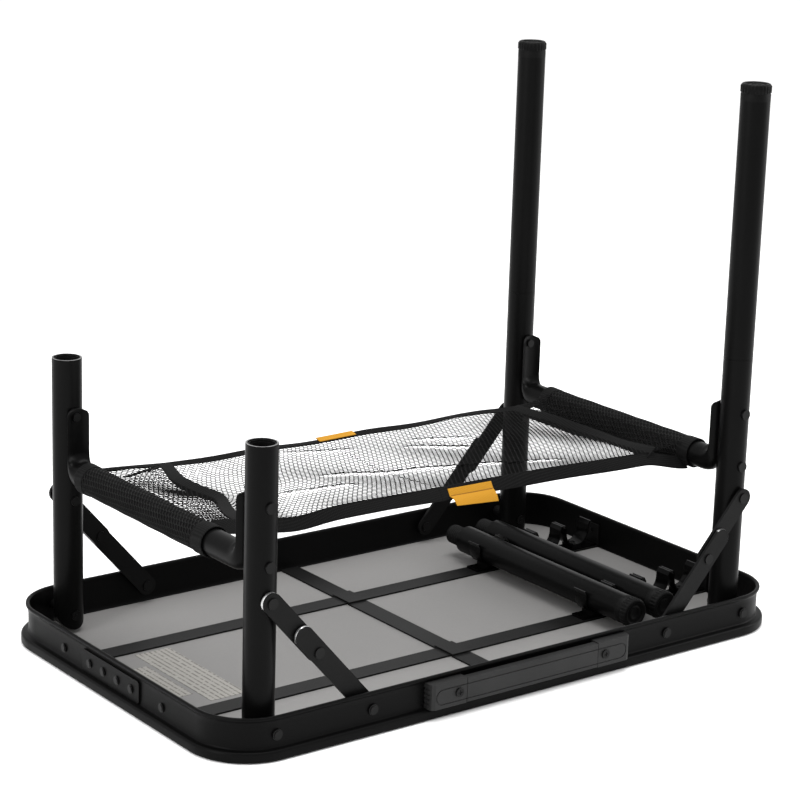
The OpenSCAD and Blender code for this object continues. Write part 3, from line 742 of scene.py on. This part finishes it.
def far_z(x):
    """Height of the middle of the far tape."""
    ends = 4.5 * smoothstep((-x - 165) / 70) - 2.5 * smoothstep((x - 150) / 60)
    return 147.0 + ends + 0.5 * math.sin(x / 17)


def sewn_x(side, y):
    """Where the sewn band crosses the shelf, roughly parallel to a bar."""
    if side < 0:
        x = -183 + 3 * bump_at(y, 15, 18)
        return x + 9 * smoothstep((y - 62) / 42) - 22 * smoothstep((15 - y) / 78)
    return SEW_X[1] + 7.5 * math.cos((y + 8) / 40)


def net_height(x, y):
    """Height of the single cloth between the sewn bands, which sags and keeps its fold lines."""
    near, far = near_y(x) + NEAR_INSET, far_y(x) - FAR_NET_INSET
    v = max(0.0, min(1.0, (y - near) / (far - near)))
    base = lerp(near_z(x) + NEAR_RISE, far_z(x), v) - NET_SAG * v * (1 - v)
    fold = 0.0
    for y0, slope, x_from, x_to in CREASES:
        reach = smoothstep((x - x_from) / 25) * smoothstep((x_to - x) / 25)
        fold += CREASE_HEIGHT * reach * bump_at(y - y0 - slope * x, 0, CREASE_WIDTH)
    ripple = 0.7 * math.sin(x / 19 + y / 31) + 0.4 * math.sin(x / 11 - y / 13)
    return base + 4 * v * (1 - v) * (fold + ripple)


NET_PITCH = 4.2
NET_STRAND = 0.7
RIBBON_EDGE = 0.25


def hex_net(name, size, place, body, pitch=NET_PITCH, strand=NET_STRAND, material=thread, loop=False):
    """Hexagonal net over a flat cloth of a size, which place(u, v) bends into its place.

    u and v go from 0 to 1. With loop the net closes on itself along u.
    """
    a = pitch / math.sqrt(3)
    rows = int(size[1] / (1.5 * a))
    cols = int(size[0] / pitch)
    index, verts, faces = {}, [], []
    for r in range(rows):
        for c in range(cols if loop else cols - (r % 2)):
            ring = []
            for dx, dy in ((0, 2), (1, 1), (1, -1), (0, -2), (-1, -1), (-1, 1)):
                i, j = 2 * c + (r % 2) + 1 + dx, 3 * r + 2 + dy
                key = (i % (2 * cols), j) if loop else (i, j)
                if key not in index:
                    index[key] = len(verts)
                    verts.append(place(key[0] / (2 * cols), j / (3 * rows + 1)))
                ring.append(index[key])
            faces.append(ring)
    net = piece(name, verts, faces, material, body)
    w = net.modifiers.new("strands", "WIREFRAME")
    w.thickness = strand * MM
    w.use_even_offset = False
    w.use_boundary = True
    return apply_modifiers(net)


def drawn_size(place, steps=24):
    """Mean length of a sheet along u and along v as it is drawn, to the nearest millimetre."""
    marks = [i / steps for i in range(steps + 1)]
    points = [[Vector(place(u, v)) for v in marks] for u in marks]
    along_u = along_v = 0.0
    for i in range(steps):
        for j in range(steps + 1):
            along_u += (points[i + 1][j] - points[i][j]).length
            along_v += (points[j][i + 1] - points[j][i]).length
    return round(along_u / (steps + 1)), round(along_v / (steps + 1))


def ribbon(name, line, width, body, steps, material=tape_weave, thick=1.0):
    """A ribbon along line(t), a function giving its middle point and the direction across it."""

    def place(u, v):
        p, across = line(u)
        s = (v - 0.5) * width
        return tuple(p[k] + across[k] * s for k in range(3))

    return solidify(grid(name, steps, 4, place, material, body), thick, RIBBON_EDGE)


def near_line(x0, x1):
    """The near tape from x0 to x1, with a slight twist."""

    def line(u):
        x = lerp(x0, x1, u)
        lean = TAPE_LEAN + 0.12 * math.sin(x / 37)
        return (x, near_y(x) + 0.5 * math.sin(x / 14), near_z(x)), (0, math.cos(lean), math.sin(lean))

    return line


def far_line(x0, x1):
    """The far tape from x0 to x1, with a slight twist."""

    def line(u):
        x = lerp(x0, x1, u)
        lean = FAR_TAPE_LEAN + 0.2 * math.sin(x / 26)
        return (x, far_y(x) + 0.5 * math.sin(x / 16), far_z(x) + 0.4), (0, math.cos(lean), math.sin(lean))

    return line


shelf_pieces = {-1: [], 1: []}
net_sheets = []
# The doubled cloth leaves the bar at 45 degrees round it, and starts this far inside the ends of the sleeve.
LOOP_START = SLEEVE_R / math.sqrt(2)
LOOP_INSET = {-1: -5.0, 1: 9.0}
LOOP_FAR_INSET = 9.0
# Where the loops and the sewn bands end, from the middles of the tapes, and how far a band lies over the net.
LOOP_NEAR_EDGE, LOOP_FAR_EDGE = 4, 2
SEAM_NEAR_EDGE, SEAM_FAR_EDGE = 1, 2
SEAM_LIFT = 0.8
for side, word in SIDES.items():
    body = f"shelf_{word}"
    lo, hi = SLEEVE_ENDS[side]

    def net_place(u, v, side=side):
        x_guess = lerp(NET_SPLIT, side * SEW_X[side], u)
        y = lerp(near_y(x_guess) + NEAR_INSET, far_y(x_guess) - FAR_NET_INSET, v)
        x = lerp(NET_SPLIT, sewn_x(side, y), u)
        return (x, y, net_height(x, y))

    size = drawn_size(net_place)
    net = hex_net(f"shelf_net_{word}", size, net_place, body)
    shelf_pieces[side].append(net)
    net_sheets.append((net, size))

    for layer, sign in (("upper", 1), ("lower", -1)):

        def loop_place(u, v, side=side, sign=sign, lo=lo, hi=hi):
            y_bar = lerp(lo + LOOP_INSET[side], hi - LOOP_FAR_INSET, v)
            x_mid = side * SEW_X[side]
            y_sewn = lerp(near_y(x_mid) + LOOP_NEAR_EDGE, far_y(x_mid) - LOOP_FAR_EDGE, v)
            y = lerp(y_bar, y_sewn, u)
            x = lerp(side * (LEG_X - LOOP_START), sewn_x(side, y), u)
            z_sewn = net_height(sewn_x(side, y), y)
            z = lerp(BAR_Z + sign * LOOP_START, z_sewn, 0.35 * smoothstep(u) + 0.65 * u)
            return (x, y, z + 0.4 * math.sin(math.pi * u) * math.sin(y / 15 + sign))

        size = drawn_size(loop_place)
        loop = hex_net(f"shelf_loop_{layer}_{word}", size, loop_place, body)
        shelf_pieces[side].append(loop)
        net_sheets.append((loop, size))

    end = side * TAPE_END
    near_tape = ribbon(f"shelf_tape_near_{word}", near_line(NET_SPLIT, end), TAPE_W, body, 100)
    far_tape = ribbon(f"shelf_tape_far_{word}", far_line(NET_SPLIT, end), FAR_TAPE_W, body, 100)
    shelf_pieces[side] += [near_tape, far_tape]

    def sewn_line(u, side=side):
        x_mid = side * SEW_X[side]
        y = lerp(near_y(x_mid) + SEAM_NEAR_EDGE, far_y(x_mid) + SEAM_FAR_EDGE, u)
        x = sewn_x(side, y)
        tip = SEAM_TIP[side] + 0.25 * math.sin(y / 21)
        return (x, y, net_height(x, y) + SEAM_LIFT), (math.cos(tip), 0, math.sin(tip))

    shelf_pieces[side].append(ribbon(f"shelf_seam_{word}", sewn_line, SEAM_W, body, 60))


GUSSET_FROM, GUSSET_TO = (-222, 84, 150), (-172, 103, 147.5)
GUSSET_W = 9


def gusset(u):
    """The strip of doubled cloth that runs from the bar to the far end of the left seam."""
    return tuple(lerp(a, b, u) for a, b in zip(GUSSET_FROM, GUSSET_TO)), (0.3 + 0.3 * u, -0.5, 0.1)


shelf_pieces[-1].append(ribbon("shelf_gusset", gusset, GUSSET_W, "shelf_left", 14))

# ---- tags ----

TAG_LOW, TAG_HIGH = -12.0, 31.0
TAG_STRIP = 0.42  # share of the tag that lies on the tape
TAG_TOP_INSET, TAG_FOLD_INSET = 3.0, 2.5  # from the edges of the tape
TAG_OFF = 1.1  # stands off the tape by this
TAG_OUT, TAG_DROP = (9.5, 7.0), (5.5, 9.0)  # of the hanging edge, at the left and right end of the tag
TAG_BULGE_OUT, TAG_BULGE_UP = 0.8, 1.3
FAR_TAG_LOW, FAR_TAG_HIGH = -23, 15
FAR_TAG_W, FAR_TAG_TILT = 6.8, 1.6
FAR_TAG_LIFT = 1.2
TAG_T, TAG_EDGE = 0.7, 0.15
STITCH_W, STITCH_T = 0.8, 0.4


def near_tag(u, v):
    """The near tag covers the tape, folds at its lower edge and hangs outward."""
    x = lerp(TAG_LOW, TAG_HIGH, u)
    half = TAPE_W / 2
    y, z = near_y(x), near_z(x)
    out = (-math.sin(TAPE_LEAN) * TAG_OFF, math.cos(TAPE_LEAN) * TAG_OFF)
    if v < TAG_STRIP:
        s = lerp(half - TAG_TOP_INSET, -half + TAG_FOLD_INSET, v / TAG_STRIP)
        return (x, y + s * math.cos(TAPE_LEAN) + out[0], z + s * math.sin(TAPE_LEAN) + out[1])
    t = (v - TAG_STRIP) / (1 - TAG_STRIP)
    s = -half + TAG_FOLD_INSET
    bulge = math.sin(math.pi * t)
    return (
        x + 0.5 * t,
        y + s * math.cos(TAPE_LEAN) + out[0] - lerp(*TAG_OUT, u) * t - TAG_BULGE_OUT * bulge,
        z + s * math.sin(TAPE_LEAN) + out[1] - lerp(*TAG_DROP, u) * t + TAG_BULGE_UP * bulge,
    )


def far_tag(u, v):
    """The far tag lies along the far tape."""
    x = lerp(FAR_TAG_LOW, FAR_TAG_HIGH, u)
    return (x, far_y(x) - FAR_TAG_W / 2 + FAR_TAG_W * v, far_z(x) + FAR_TAG_LIFT + FAR_TAG_TILT * v)


near_cloth = grid("tag_near", 20, 24, near_tag, tag_twill, "shelf_right")
near_cloth = solidify(near_cloth, TAG_T, TAG_EDGE)
far_cloth = grid("tag_far", 16, 8, far_tag, tag_twill, "shelf_right")
far_cloth = solidify(far_cloth, TAG_T, TAG_EDGE)
shelf_pieces[1] += [near_cloth, far_cloth]
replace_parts(near_cloth, "tags")


def tag_seam(u):
    """The row of stitching at the fold of the near tag."""
    x, y, z = near_tag(lerp(0.02, 0.98, u), TAG_STRIP)
    return (x, y - 0.45, z + 0.35), (0, 0.5, 0.86)


shelf_pieces[1].append(
    ribbon("tag_seam", tag_seam, STITCH_W, "shelf_right", 24, tag_stitch, STITCH_T)
)

# ---- sleeves around the bars ----

# How far each binding runs along Y from its end of the sleeve.
RING_REACH = {(-1, "near"): -15.0, (-1, "far"): -12.0, (1, "near"): 13.0, (1, "far"): -12.0}
CLOTH_R = SLEEVE_R - 0.85
KNIT_R = SLEEVE_R - 0.35
RING_R = SLEEVE_R + 0.1
KNIT_PITCH = 4.3
KNIT_STRAND = 0.95
KNIT_END = 1  # from the end of the sleeve to the end of the knit
KNIT_TWIST = 1.1  # turns along the sleeve
RING_T = 0.9
for side, word in SIDES.items():
    lo, hi = SLEEVE_ENDS[side]
    body = f"leg_frame_{word}"

    def on_bar(r, a, y, side=side):
        return (side * LEG_X + r * math.sin(a), y, BAR_Z + r * math.cos(a))

    def wrap(u, v, lo=lo, hi=hi, on_bar=on_bar):
        return on_bar(CLOTH_R, 2 * math.pi * u, lerp(lo, hi, v))

    cloth = grid(f"sleeve_cloth_{word}", 48, 60, wrap, sleeve_cloth_dark, body, loop_u=True)
    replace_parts(cloth, f"sleeve_{word}")

    def knit(u, v, lo=lo, hi=hi, on_bar=on_bar):
        y = lerp(lo + KNIT_END, hi - KNIT_END, v)
        a = 2 * math.pi * (u + v * KNIT_TWIST)
        return on_bar(KNIT_R + 0.12 * math.sin(y / 6 + 2 * a), a, y)

    around = 2 * math.pi * SLEEVE_R
    size = (around, hi - lo)
    parts = [
        hex_net(f"sleeve_net_{word}", size, knit, body, KNIT_PITCH, KNIT_STRAND, sleeve_thread, loop=True)
    ]
    for end, tag in ((lo, "near"), (hi, "far")):

        def ring(u, v, end=end, reach=RING_REACH[side, tag], on_bar=on_bar):
            a = 2 * math.pi * u
            r = RING_R + 0.25 * math.sin(2 * a + 1) * (1 - v)
            return on_bar(r, a, end + reach * v)

        bound = grid(f"sleeve_band_{tag}_{word}", 48, 6, ring, tape_weave, body, loop_u=True)
        parts.append(solidify(bound, RING_T, RIBBON_EDGE))

for net, (w, l) in net_sheets:
    word = "left" if net.name.endswith("left") else "right"
for side, word in SIDES.items():
    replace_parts(shelf_pieces[side][0], f"net_{word}")
    for obj in shelf_pieces[side]:
        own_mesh(obj)

# ---- last update of the scene ----

bpy.context.view_layer.update()
